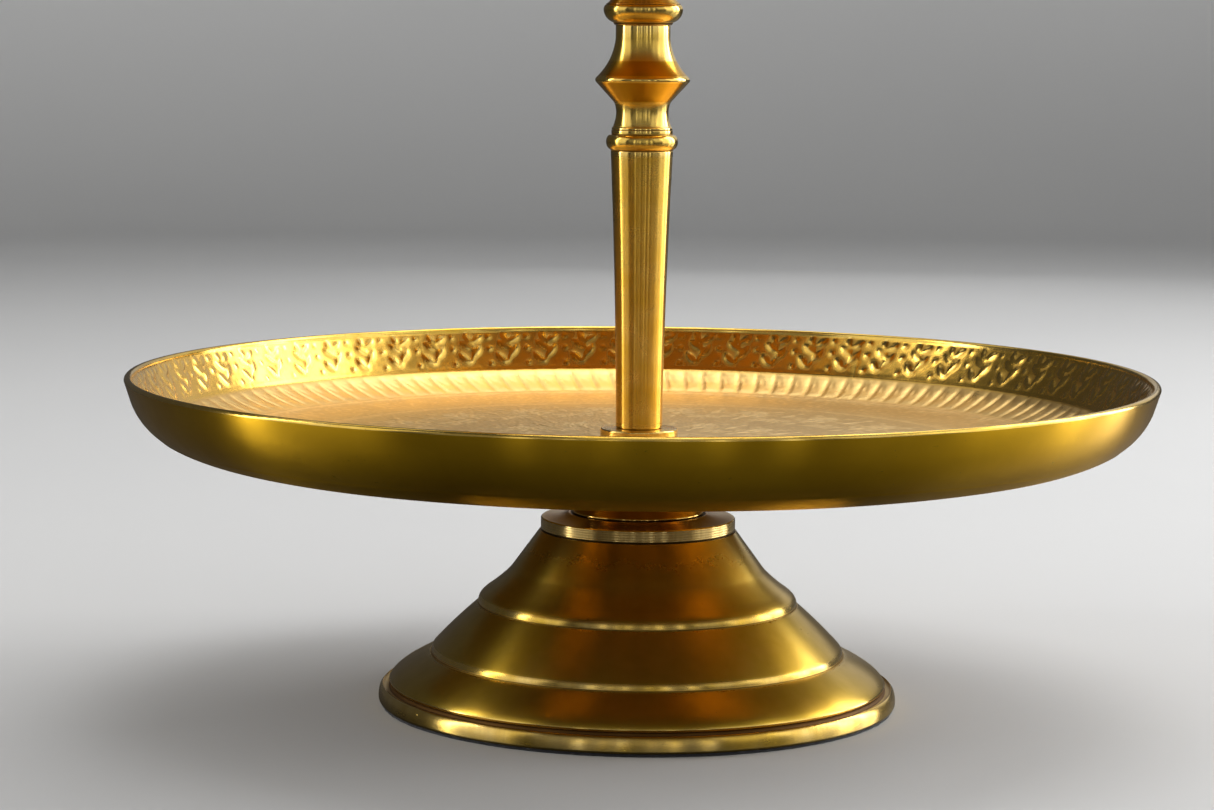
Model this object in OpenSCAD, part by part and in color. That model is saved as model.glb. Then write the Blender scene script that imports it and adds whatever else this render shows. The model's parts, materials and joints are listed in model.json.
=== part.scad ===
// Two-tier brass cake stand: a stepped pedestal, two dished trays and a turned column,
// stacked on one threaded tie rod that is tightened by a ring handle.
// +Z is up. The origin is the centre of the felt's underside, on the table.

/* [Trays] */
// Outside radius of the lower tray
lower_tray_r = 152.4; // [130:0.1:165]
// Outside radius of the upper tray
upper_tray_r = 101.6; // [80:0.1:125]
// Height of a tray from its underside to the top of its rim
tray_h = 23.6; // [21:0.1:30]
// Thickness of the tray's brass
tray_t = 2.2; // [1.5:0.1:2.8]

/* [Pedestal] */
// Radius of the pedestal at the table
foot_r = 77.5; // [75:0.1:80]
// Thickness of the felt under the pedestal
felt_t = 1; // [0.6:0.1:1.6]
// Thickness of the pedestal's cast wall
foot_wall = 3.2; // [2.4:0.1:4]
// Inside radius of the pedestal's thick rim, and of the felt ring
foot_mouth_r = 67; // [65:0.5:68]
// Radius of the polished collar on top of the pedestal
collar_r = 29; // [27.5:0.1:30]

/* [Column] */
// Radius of the tapered shaft at its foot
shaft_foot_r = 6.9; // [6.4:0.1:8]
// Radius of the tapered shaft at its top
shaft_top_r = 9.2; // [8.4:0.1:9.3]
// Radius of the round foot flanges that clamp the trays
flange_r = 11.5; // [10:0.1:16]
// Radius of the knob half way up the column
knob_r = 14.3; // [13.5:0.1:17]

/* [Handle] */
// Mean radius of the ring handle
ring_r = 21; // [18:0.5:26]
// Radius of the ring handle's round bar
ring_bar_r = 3.2; // [2.6:0.1:4]

/* [Tie rod] */
// Radius of the tie rod, an M6 thread drawn plain
rod_r = 3; // [3:0.5:3]
// Radius of the clearance holes that the rod passes through
rod_hole_r = 3.3; // [3.2:0.05:3.5]
// Length of rod inside the handle's threaded hole
grip_l = 12; // [8:1:14]

/* [Hidden] */
$fn = 96;

// Distance that keeps cut surfaces from lying on each other
eps = 0.5;
// Running gap round the rod in the threaded holes, and round a locating spigot
run_gap = 0.05;
// Width and depth of the fine turned grooves
groove_w = 0.35;
groove_d = 0.5;

// Heights, each counted from the pedestal's brass underside
foot_top = 51.3;
crown_under = 46.5;
collar_top = 55.2;
step_top = 56.3;
neck_top = 73.6;
lower_tray_z = 74.6;
clamp_washer_t = 0.8;
seat_sink = 0.2;
lower_flange_t = 4.4;
lower_flange_z = lower_tray_z + tray_t - seat_sink + clamp_washer_t;
shaft_z = lower_flange_z + lower_flange_t;
shaft_top = 164.1;
ring_top = 170.2;
knob_z = 184.9;
knop_top = 200.9;
bead_top = 206.8;
stem_top = 242.1;
upper_seat_top = 245.6;
upper_tray_z = 246.6;
upper_flange_t = 3.6;
upper_flange_z = upper_tray_z + tray_t - seat_sink + clamp_washer_t;
handle_washer_t = 0.8;
handle_z = upper_flange_z + upper_flange_t + handle_washer_t;

// Radius of the round foot of the neck, where it stands on the collar
neck_foot_r = 19.6;

// Spigots that centre one turned piece in the next
spigot_r = 5;
spigot_h = 1.5;
collar_spigot_r = 16;

// Fasteners inside the pedestal
base_washer_r = 15;
base_washer_t = 1.6;
spring_r = 5.9;
spring_t = 1.6;
nut_across_corners = 11.55;
nut_h = 5;
rod_below_nut = 3;
nut_z = crown_under - base_washer_t - spring_t - nut_h;
rod_z = nut_z - rod_below_nut;

// The handle's stem
stem_h = 34;
peg_r = 2.5;
peg_l = 6;
ring_sink = 1.4;
handle_top = handle_z + stem_h;
ring_z = handle_top + ring_r + ring_bar_r - ring_sink;

// Points of a curve from a to b that leans towards c
function bend(a, c, b, n = 8) =
  [for (i = [0:n]) let (t = i / n) (1 - t) * (1 - t) * a + 2 * t * (1 - t) * c + t * t * b];

// Points of an arc about c with radius r, from angle a0 to a1
function arc(c, r, a0, a1, n = 8) =
  [for (i = [0:n]) let (a = a0 + (a1 - a0) * i / n) c + r * [cos(a), sin(a)]];

// A path moved sideways by d, to the left of the way it runs
function beside(path, d) = [
  for (i = [0:len(path) - 1])
    let (
      along = path[min(i + 1, len(path) - 1)] - path[max(i - 1, 0)],
      left = [-along[1], along[0]] / norm(along)
    )
    path[i] + d * left
];

// The same points in the opposite order
function backwards(path) = [for (i = [len(path) - 1:-1:0]) path[i]];

// A solid turned on the lathe. Its outline runs from the bottom up, outside only, and it
// has a hole for the rod, a spigot on top and a socket below where they are asked for.
module turned(outline, hole = rod_hole_r, spigot = 0, socket = 0) {
  z0 = outline[0][1];
  z1 = outline[len(outline) - 1][1];
  difference() {
    union() {
      rotate_extrude() polygon(concat([[0, z0]], outline, [[0, z1]]));
      if (spigot > 0) translate([0, 0, z1 - eps]) cylinder(r = spigot, h = spigot_h + eps);
    }
    translate([0, 0, z0 - eps]) cylinder(r = hole, h = z1 - z0 + spigot_h + 2 * eps);
    if (socket > 0)
      translate([0, 0, z0 - eps]) cylinder(r = socket + run_gap, h = spigot_h + run_gap + eps);
  }
}

// A flat washer standing on z
module washer(z, r, t, hole = rod_hole_r) {
  translate([0, 0, z]) difference() {
    cylinder(r = r, h = t);
    translate([0, 0, -eps]) cylinder(r = hole, h = t + 2 * eps);
  }
}

// Everything made of brass stands on the felt
module on_felt() translate([0, 0, felt_t]) children();

// ---- Pedestal -------------------------------------------------------------------

module base_felt() color("#1c1b1c")
  difference() {
    cylinder(r = foot_r - 0.9, h = felt_t);
    translate([0, 0, -eps]) cylinder(r = foot_mouth_r, h = felt_t + 2 * eps);
  }

// The three bells of the pedestal, from the lowest up: a dome, a straight cone and a flare
function low_bell() = bend([foot_r - 3.2, 6.1], [foot_r - 4.5, 9.3], [62.2, 14.2]);
function middle_bell() = bend([61, 16.4], [55.25, 22.7], [48, 29]);
function top_bell() = concat(
  bend([47, 31.5], [46.6, 32.3], [43.9, 34.1], 4),
  bend([43.9, 34.1], [39.6, 37.4], [37.8, 39.6], 6),
  [[29.4, foot_top - 0.2]]
);

// Outline of the pedestal: a polished band, a cove, and the bells with a bright edge
// and a fine groove under the middle and the top one
function foot_outline() = concat(
  [[foot_r - groove_d, 0]],
  bend([foot_r - 0.1, groove_d], [foot_r + 0.1, 3.8], [foot_r - 1.3, 4.8]),
  arc([foot_r - 2.5, 5.1], 1.2, -15, -200, 8),
  low_bell(),
  [[62.1 - groove_d, 14.3], [62.1 - groove_d, 14.3 + groove_w], [61.5, 14.3 + groove_w]],
  middle_bell(),
  [[48 - groove_d, 29.1], [48 - groove_d, 29.1 + groove_w], [47.6, 29.1 + groove_w]],
  top_bell(),
  [[29, foot_top]]
);

// The hollow inside, a wall's thickness under the bells and open at the table
function foot_hollow() = concat(
  [[foot_mouth_r, -eps]],
  [
    for (p = beside(concat(low_bell(), middle_bell(), top_bell()), foot_wall))
      if (p[0] < foot_mouth_r && p[1] < crown_under) p
  ],
  [[24, crown_under], [0, crown_under], [0, -eps]]
);

module pedestal_foot() color("#9c7a2c") on_felt()
  difference() {
    turned(foot_outline());
    rotate_extrude() polygon(foot_hollow());
    translate([0, 0, foot_top - spigot_h - run_gap])
      cylinder(r = collar_spigot_r + run_gap, h = spigot_h + 1);
  }

module pedestal_collar() color("#d8b45a") on_felt()
  difference() {
    union() {
      turned([
        [collar_r - groove_d, foot_top], [collar_r - groove_d, foot_top + 0.3],
        [collar_r, foot_top + 0.4], [collar_r, collar_top - 0.35],
        [collar_r - 0.35, collar_top], [neck_foot_r + 1, step_top], [neck_foot_r, step_top]
      ], spigot = spigot_r);
      translate([0, 0, foot_top - spigot_h]) cylinder(r = collar_spigot_r, h = spigot_h + eps);
    }
    translate([0, 0, foot_top - spigot_h - eps])
      cylinder(r = rod_hole_r, h = step_top - foot_top + 2 * spigot_h + 2 * eps);
  }

module pedestal_neck() color("#b08a34") on_felt()
  turned(concat(
    [[neck_foot_r - 0.4, step_top], [neck_foot_r, step_top + 0.4], [neck_foot_r, 60.8]],
    bend([18.8, 61.4], [15, 61.8], [15, 65]),
    bend([15, 66], [15.4, 70.6], [23.4, 71.4]),
    [[24, 72], [24, neck_top - 0.4], [23.6, neck_top]]
  ), socket = spigot_r);

// ---- Fasteners ------------------------------------------------------------------

module base_washer() color("#b9bcc0") on_felt()
  washer(crown_under - base_washer_t, base_washer_r, base_washer_t, hole = 3.2);

module base_spring_washer() color("#8d9094") on_felt()
  difference() {
    washer(nut_z + nut_h, spring_r, spring_t, hole = 3.1);
    translate([0, -0.4, nut_z + nut_h - eps]) cube([spring_r + 1, 0.8, spring_t + 2 * eps]);
  }

module base_nut() color("#c0c3c7") on_felt()
  translate([0, 0, nut_z]) difference() {
    intersection() {
      cylinder(d = nut_across_corners, h = nut_h, $fn = 6);
      rotate_extrude() polygon([
        [0, 0], [5, 0], [nut_across_corners / 2, 0.5],
        [nut_across_corners / 2, nut_h - 0.5], [5, nut_h], [0, nut_h]
      ]);
    }
    translate([0, 0, -eps]) cylinder(r = rod_r + run_gap, h = nut_h + 2 * eps);
  }

module tie_rod() color("#b4b7bb") on_felt()
  rotate_extrude() polygon([
    [0, rod_z], [rod_r - 0.6, rod_z], [rod_r, rod_z + 0.6],
    [rod_r, handle_z + grip_l - 0.6], [rod_r - 0.6, handle_z + grip_l],
    [0, handle_z + grip_l]
  ]);

// ---- Trays ----------------------------------------------------------------------

// Outside of a tray, from the edge of its flat bottom round the belly to the rim
function tray_outside(r) = concat(
  bend([r - 36.4, 0], [r - 19.4, 0.4], [r - 10.3, tray_h - 17.6], 10),
  bend([r - 9.9, tray_h - 17.2], [r - 4.2, tray_h - 13.2], [r - 2, tray_h - 7.1], 8),
  [[r - 0.1, tray_h - 1.1]]
);

// Section of a tray: the outside, a rounded lip and the inside a sheet's thickness away,
// with a shallow round seat for the clamp washer in the middle of the floor
module tray_section(r) {
  outside = tray_outside(r);
  inside = beside(outside, tray_t);
  lip_r = tray_t / 2;
  polygon(concat(
    [[rod_hole_r, 0]],
    outside,
    arc([r - 0.1 - lip_r, tray_h - lip_r], lip_r, 0, 180, 10),
    backwards([for (p = inside) if (p[1] < tray_h - lip_r - 0.3) p]),
    [
      [r - 38, tray_t], [flange_r + 0.8, tray_t], [flange_r + 0.8, tray_t - seat_sink],
      [rod_hole_r, tray_t - seat_sink]
    ]
  ));
}

module lower_tray() color("#b8923a") on_felt()
  translate([0, 0, lower_tray_z]) rotate_extrude() tray_section(lower_tray_r);

module upper_tray() color("#b8923a") on_felt()
  translate([0, 0, upper_tray_z]) rotate_extrude() tray_section(upper_tray_r);

// Fibre washers that keep the clamped brass from scratching
module lower_seat_washer() color("#6b4a2e") on_felt()
  washer(neck_top, 22.5, lower_tray_z - neck_top);
module lower_clamp_washer() color("#6b4a2e") on_felt()
  washer(lower_flange_z - clamp_washer_t, flange_r - 0.7, clamp_washer_t);
module upper_seat_washer() color("#6b4a2e") on_felt()
  washer(upper_seat_top, 20.5, upper_tray_z - upper_seat_top);
module upper_clamp_washer() color("#6b4a2e") on_felt()
  washer(upper_flange_z - clamp_washer_t, flange_r - 0.7, clamp_washer_t);

// ---- Column ---------------------------------------------------------------------

// A round flange with a rolled top edge
module clamp_flange(z, t, spigot = 0) {
  turned(concat(
    [[flange_r - 0.3, z], [flange_r, z + 0.3]],
    arc([flange_r - 0.5, z + t - 0.5], 0.5, 0, 90, 4)
  ), spigot = spigot);
}

module column_flange() color("#c29a40") on_felt()
  clamp_flange(lower_flange_z, lower_flange_t, spigot_r);

module column_shaft() color("#b98f36") on_felt()
  turned(concat(
    [[shaft_foot_r - 0.4, shaft_z]],
    bend([shaft_foot_r, shaft_z + 0.5], [shaft_foot_r + 0.3, 121.6], [shaft_top_r, shaft_top], 14)
  ), spigot = spigot_r, socket = spigot_r);

module column_ring() color("#c29a40") on_felt()
  turned(concat(
    [[shaft_top_r - 0.2, shaft_top], [shaft_top_r + 0.1, shaft_top + 0.2]],
    bend([9.4, shaft_top + 0.4], [10.6, shaft_top + 1], [10.6, shaft_top + 2.9], 6),
    bend([10.6, shaft_top + 2.9], [10.5, shaft_top + 4.2], [9.6, shaft_top + 4.7], 4),
    [[9.05, shaft_top + 4.9], [9.05, ring_top]]
  ), spigot = spigot_r, socket = spigot_r);

// The knob, with a narrow edge between the cone below it and the flare above it
module column_knop() color("#c29a40") on_felt()
  turned(concat(
    [[8.6, ring_top], [8.95, ring_top + 0.2], [8.95, ring_top + 0.7]],
    bend([8.6, ring_top + 1], [7, 175.2], [8.3, 178.3]),
    bend([8.3, 178.3], [10, 180.2], [knob_r - 0.8, knob_z - 0.9], 6),
    bend([knob_r - 0.8, knob_z - 0.9], [knob_r + 0.1, knob_z], [knob_r - 0.8, knob_z + 0.9], 6),
    bend([knob_r - 0.8, knob_z + 0.9], [9.2, 190], [8.2, 195.9]),
    [[8.05, 197.1], [8.05, knop_top]]
  ), spigot = spigot_r, socket = spigot_r);

module column_bead() color("#c29a40") on_felt()
  turned(concat(
    [[8.4, knop_top], [8.6, knop_top + 0.3]],
    bend([8.8, knop_top + 0.8], [11.2, knop_top + 1.6], [11.7, knop_top + 4.3]),
    bend([11.7, knop_top + 4.3], [11.7, knop_top + 5.3], [11.2, bead_top], 4)
  ), spigot = spigot_r, socket = spigot_r);

module column_neck() color("#b98f36") on_felt()
  turned(concat(
    [[10.9, bead_top]],
    bend([11, bead_top + 0.2], [7.4, bead_top + 2.7], [7, bead_top + 9]),
    bend([7, bead_top + 9], [7, stem_top - 7], [11.5, stem_top - 1.2], 12),
    [[12, stem_top - 0.8], [12, stem_top]]
  ), spigot = spigot_r, socket = spigot_r);

module upper_seat() color("#c29a40") on_felt()
  turned(concat(
    [[13.6, stem_top], [14, stem_top + 0.4]],
    bend([14.2, stem_top + 0.6], [20, stem_top + 0.8], [21.6, stem_top + 2]),
    [[22, stem_top + 2.4], [22, upper_seat_top - 0.4], [21.6, upper_seat_top]]
  ), socket = spigot_r);

module upper_flange() color("#c29a40") on_felt() clamp_flange(upper_flange_z, upper_flange_t);

// ---- Handle ---------------------------------------------------------------------

module handle_washer() color("#d8b45a") on_felt()
  washer(handle_z - handle_washer_t, 8.6, handle_washer_t, hole = rod_r + run_gap);

// Outline of the handle's stem: a foot, a knob like the column's and a cup for the ring
function stem_outline(z) = concat(
  [[9.2, z], [9.5, z + 0.4], [9.5, z + 1.8]],
  bend([9, z + 2.2], [5.8, z + 4.4], [5.9, z + 9]),
  bend([5.9, z + 9], [6.4, z + 12.2], [9.4, z + 14.2], 6),
  bend([9.4, z + 14.2], [10.4, z + 15.2], [9.4, z + 16.6], 6),
  bend([9.4, z + 16.6], [6, z + 19.4], [5.4, z + 25]),
  bend([5.4, z + 26], [7.8, z + 28], [8, z + stem_h - 2.4], 6),
  arc([7.2, z + stem_h - 0.8], 0.8, 0, 90, 4)
);

// The ring's own outline, which also cuts its seat in the stem
module ring_bar(extra = 0) {
  translate([0, 0, ring_z]) rotate([90, 0, 0])
    rotate_extrude() translate([ring_r, 0]) circle(r = ring_bar_r + extra, $fn = 48);
}

module handle_stem() color("#c29a40") on_felt()
  difference() {
    rotate_extrude() polygon(concat(
      [[0, handle_z]], stem_outline(handle_z), [[0, handle_top]]
    ));
    translate([0, 0, handle_z - eps]) cylinder(r = rod_r + run_gap, h = grip_l + 3 + eps);
    translate([0, 0, handle_top - peg_l - 1]) cylinder(r = peg_r + run_gap, h = peg_l + 2);
    ring_bar(run_gap);
  }

module handle_ring() color("#d8b45a") on_felt() {
  ring_bar();
  translate([0, 0, handle_top - peg_l]) cylinder(r = peg_r, h = peg_l);
}

base_felt();
pedestal_foot();
pedestal_collar();
pedestal_neck();
base_washer();
base_spring_washer();
base_nut();
tie_rod();
lower_seat_washer();
lower_tray();
lower_clamp_washer();
column_flange();
column_shaft();
column_ring();
column_knop();
column_bead();
column_neck();
upper_seat();
upper_seat_washer();
upper_tray();
upper_clamp_washer();
upper_flange();
handle_washer();
handle_stem();
handle_ring();
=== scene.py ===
"""Looks of a two-tier brass cake stand: turned and brushed brass, embossed trays and a threaded rod."""
import json
import math

import bpy
import numpy as np
from mathutils import Matrix, Vector


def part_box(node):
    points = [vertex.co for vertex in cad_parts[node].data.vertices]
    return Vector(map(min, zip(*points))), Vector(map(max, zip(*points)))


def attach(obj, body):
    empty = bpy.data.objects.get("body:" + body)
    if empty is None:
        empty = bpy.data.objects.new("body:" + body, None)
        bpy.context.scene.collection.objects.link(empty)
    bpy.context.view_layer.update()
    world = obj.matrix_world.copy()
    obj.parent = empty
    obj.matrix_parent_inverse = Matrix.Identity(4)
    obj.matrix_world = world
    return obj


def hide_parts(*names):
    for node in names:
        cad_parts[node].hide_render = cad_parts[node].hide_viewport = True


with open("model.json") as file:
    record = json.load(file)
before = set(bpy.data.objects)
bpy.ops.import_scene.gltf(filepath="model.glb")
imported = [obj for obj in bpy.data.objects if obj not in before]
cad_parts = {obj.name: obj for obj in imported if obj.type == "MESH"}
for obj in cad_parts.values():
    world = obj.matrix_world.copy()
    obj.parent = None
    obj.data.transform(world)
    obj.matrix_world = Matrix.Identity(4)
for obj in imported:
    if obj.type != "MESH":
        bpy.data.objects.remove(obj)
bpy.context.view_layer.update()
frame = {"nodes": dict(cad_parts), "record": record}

MM = 0.001
BODY_OF = {node: body for body, nodes in frame["record"]["behaviour"]["bodies"].items() for node in nodes}


def low_z(node):
    """Height of a node's lowest point, in millimetres."""
    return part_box(node)[0].z / MM


def high_z(node):
    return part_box(node)[1].z / MM


def radius(node):
    """Outer radius of a turned node, in millimetres."""
    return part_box(node)[1].x / MM


# ---- Outlines: points (radius, height) in millimetres -----------------------------------------

def bend(a, c, b, n=16):
    """Points of a curve from a to b that leans towards c."""
    a, c, b = np.array(a, float), np.array(c, float), np.array(b, float)
    return [tuple((1 - t) ** 2 * a + 2 * t * (1 - t) * c + t * t * b) for t in np.linspace(0, 1, n + 1)]


def arc(c, r, a0, a1, n=12):
    """Points of an arc about c, from angle a0 to a1 in degrees."""
    return [
        (c[0] + r * math.cos(math.radians(a)), c[1] + r * math.sin(math.radians(a)))
        for a in np.linspace(a0, a1, n + 1)
    ]


def soften(points, cut=0.25, sharp=22, steps=3):
    """The outline with each corner sharper than that many degrees rounded off, as a buffed edge is.
    Each point is (radius, height, finish), and a new point takes its corner's finish."""
    out = [points[0]]
    for a, p, b in zip(points, points[1:], points[2:]):
        va, vb = np.subtract(p[:2], a[:2]), np.subtract(b[:2], p[:2])
        la, lb = np.linalg.norm(va), np.linalg.norm(vb)
        if min(la, lb) < 1e-9:
            continue
        turn = math.degrees(math.acos(np.clip(va @ vb / (la * lb), -1, 1)))
        if turn < sharp:
            out.append(p)
            continue
        t = min(cut, 0.45 * la, 0.45 * lb)
        start, end = np.subtract(p[:2], va / la * t), np.add(p[:2], vb / lb * t)
        out += [(*q, p[2]) for q in bend(start, p[:2], end, steps)]
    return out + [points[-1]]


def joined(*parts):
    """Parts are (points, finish) from the bottom up. Returns one list of (radius, height, finish)."""
    return [(r, z, finish) for points, finish in parts for r, z in points]


# ---- Meshes ------------------------------------------------------------------------------------

def mesh_from(name, verts, quads, finishes=None, smooth_angle=40):
    """A mesh object from arrays of corners and of quads, fast enough for the embossed trays."""
    mesh = bpy.data.meshes.new(name)
    mesh.vertices.add(len(verts))
    mesh.vertices.foreach_set("co", np.asarray(verts, np.float32).ravel())
    mesh.loops.add(quads.size)
    mesh.loops.foreach_set("vertex_index", quads.astype(np.int32).ravel())
    mesh.polygons.add(len(quads))
    mesh.polygons.foreach_set("loop_start", np.arange(0, quads.size, quads.shape[1], dtype=np.int32))
    if finishes is not None:
        mesh.polygons.foreach_set("material_index", np.asarray(finishes, np.int32))
    mesh.update(calc_edges=True)
    mesh.validate()
    mesh.shade_smooth()
    if smooth_angle:
        mesh.set_sharp_from_angle(angle=math.radians(smooth_angle))
    obj = bpy.data.objects.new(name, mesh)
    bpy.context.scene.collection.objects.link(obj)
    return obj


def add_values(obj, name, values):
    """A number for each corner of the mesh, which its material reads by that name."""
    layer = obj.data.attributes.new(name, "FLOAT", "POINT")
    layer.data.foreach_set("value", np.asarray(values, np.float32).ravel())


def ring_quads(rows, cols, closed_rows=True):
    """Quads of a grid whose columns run round the axis, and whose last row meets its first."""
    i = np.arange(rows if closed_rows else rows - 1)
    j = np.arange(cols)
    a = (i[:, None] * cols + j[None, :])
    b = (i[:, None] * cols + (j[None, :] + 1) % cols)
    up = ((i[:, None] + 1) % rows) * cols
    return np.stack([a, b, up + (j[None, :] + 1) % cols, up + j[None, :]], -1).reshape(-1, 4)


def edge_shade_and_wear(outline):
    """How far each point of a closed outline stands out as a ridge (1) or in as a crevice (-1)."""
    p = np.array([q[:2] for q in outline])
    before, after = p - np.roll(p, 1, 0), np.roll(p, -1, 0) - p
    turn = before[:, 0] * after[:, 1] - before[:, 1] * after[:, 0]
    turn = np.arctan2(turn, (before * after).sum(1))
    along = np.concatenate([[0], np.cumsum(np.linalg.norm(after, axis=1))])[:-1]
    near = np.exp(-((along[:, None] - along[None, :]) / 0.3) ** 2)
    return np.clip(near @ turn * 1.1, -1, 1)


def lathe(name, outline, finishes, segments=256):
    """A closed turned solid. outline is a closed list of (radius, height, finish)."""
    pts = np.array([(r, z) for r, z, _ in outline])
    t = np.linspace(0, 2 * math.pi, segments, endpoint=False)
    verts = np.empty((len(pts), segments, 3))
    verts[..., 0] = pts[:, :1] * np.cos(t)
    verts[..., 1] = pts[:, :1] * np.sin(t)
    verts[..., 2] = pts[:, 1:]
    slots = np.repeat([q[2] for q in outline], segments)
    obj = mesh_from(name, verts.reshape(-1, 3) * MM, ring_quads(len(pts), segments), slots)
    # Curvature that paints shade into crevices, and highlight with wear onto ridges, in the brass finishes.
    add_values(obj, "shade_and_wear", np.repeat(edge_shade_and_wear(outline), segments))
    for finish in finishes:
        obj.data.materials.append(finish)
    return obj


def settle(obj, *nodes):
    """The piece stands for those CAD nodes and rides on their body."""
    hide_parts(*nodes)
    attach(obj, BODY_OF[nodes[0]])
    return obj


# ---- Materials ---------------------------------------------------------------------------------

class Nodes:
    """A short way to build a material's nodes."""

    def __init__(self, name):
        self.material = bpy.data.materials.new(name)
        self.material.use_nodes = True
        self.tree = self.material.node_tree
        self.shader = self.tree.nodes["Principled BSDF"]

    def add(self, kind, settings=(), **inputs):
        node = self.tree.nodes.new("ShaderNode" + kind)
        for key, value in dict(settings).items():
            setattr(node, key, value)
        for key, value in inputs.items():
            by_number = key[0] == "i" and key[1:].isdigit()
            self.put(node.inputs[int(key[1:]) if by_number else key], value)
        return node

    def put(self, socket, value):
        if isinstance(value, bpy.types.NodeSocket):
            self.tree.links.new(value, socket)
        else:
            socket.default_value = value

    def math(self, kind, *values):
        node = self.add("Math", {"operation": kind})
        for socket, value in zip(node.inputs, values):
            self.put(socket, value)
        return node.outputs[0]

    def noise(self, where, scale, detail=3.0, rough=0.55):
        node = self.add("TexNoise", Vector=where, Scale=scale, Detail=detail, Roughness=rough)
        return node.outputs["Fac"]

    def span(self, value, lo, hi, to_lo=0.0, to_hi=1.0):
        """value, from lo to hi, stretched to to_lo to to_hi."""
        node = self.add("MapRange", {}, i0=value, i1=lo, i2=hi, i3=to_lo, i4=to_hi)
        return node.outputs[0]

    def mix(self, factor, a, b):
        node = self.add("Mix", {"data_type": "RGBA"})
        self.put(node.inputs[0], factor)
        self.put(node.inputs[6], a)
        self.put(node.inputs[7], b)
        return node.outputs[2]

    def value(self, name):
        return self.add("Attribute", {"attribute_name": name}).outputs["Fac"]


def turned_place(n, across=1.0, around=9.0):
    """A place that changes fast across the lathe's cut and slowly round the axis."""
    place = n.add("TexCoord").outputs["Object"]
    parts = n.add("SeparateXYZ", i0=place)
    flat = n.add("CombineXYZ", i0=parts.outputs[0], i1=parts.outputs[1])
    length = n.add("VectorMath", {"operation": "LENGTH"}, i0=flat.outputs[0]).outputs["Value"]
    unit = n.add("VectorMath", {"operation": "NORMALIZE"}, i0=flat.outputs[0]).outputs[0]
    split = n.add("SeparateXYZ", i0=unit)
    cut = n.math("ADD", n.math("MULTIPLY", length, 0.73), parts.outputs[2])
    return n.add(
        "CombineXYZ",
        i0=n.math("MULTIPLY", split.outputs[0], around * MM),
        i1=n.math("MULTIPLY", split.outputs[1], around * MM),
        i2=n.math("MULTIPLY", cut, across),
    ).outputs[0]


def rgb(r, g, b):
    return (r, g, b, 1.0)


BRASS = rgb(0.84, 0.53, 0.07)
BRASS_DEEP = rgb(0.74, 0.44, 0.035)
BRASS_PALE = rgb(0.94, 0.68, 0.24)
BRASS_OLIVE = rgb(0.84, 0.48, 0.02)


def drawn_streaks(n):
    """Fine streaks that run up the piece, from the last strokes of the emery cloth."""
    place = n.add("TexCoord").outputs["Object"]
    parts = n.add("SeparateXYZ", i0=place)
    flat = n.add("CombineXYZ", i0=parts.outputs[0], i1=parts.outputs[1])
    unit = n.add("VectorMath", {"operation": "NORMALIZE"}, i0=flat.outputs[0]).outputs[0]
    split = n.add("SeparateXYZ", i0=unit)
    height = n.math("MULTIPLY", parts.outputs[2], 3.0)
    round_it = n.add("CombineXYZ", i0=split.outputs[0], i1=split.outputs[1], i2=height)
    return n.span(n.noise(round_it.outputs[0], 26, 3.0, 0.7), 0.36, 0.64)


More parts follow.
